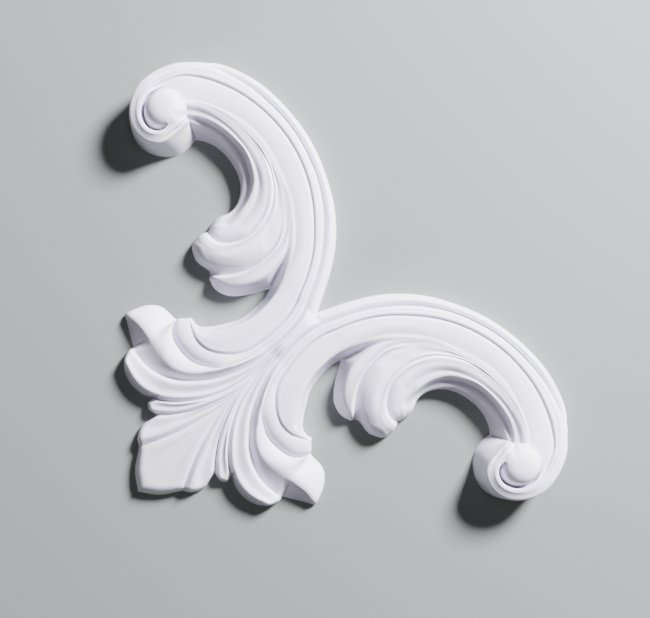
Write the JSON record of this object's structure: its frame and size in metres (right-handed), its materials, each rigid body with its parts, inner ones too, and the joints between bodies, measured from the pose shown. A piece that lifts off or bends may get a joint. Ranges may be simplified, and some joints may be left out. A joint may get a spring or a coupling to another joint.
{
  "type": "moulding corner piece",
  "caption": "Carved-look corner ornament for panel moulding: scrolled arms with side leaves spring from an acanthus palmette at right angles, over a flat back.",
  "frame": {"origin": "on the flat back, on the line of symmetry, in the neck where the two arms part", "axes": "+X along one arm, +Z along the other, +Y into the wall: the relief faces -Y and the palmette points to -X and -Z"},
  "size_m": [0.2943, 0.0295, 0.2943],
  "materials": {
    "corner_moulding": "matte white primer"
  },
  "bodies": {
    "root": {"corner_moulding": "corner_moulding"}
  },
  "joints": []
}
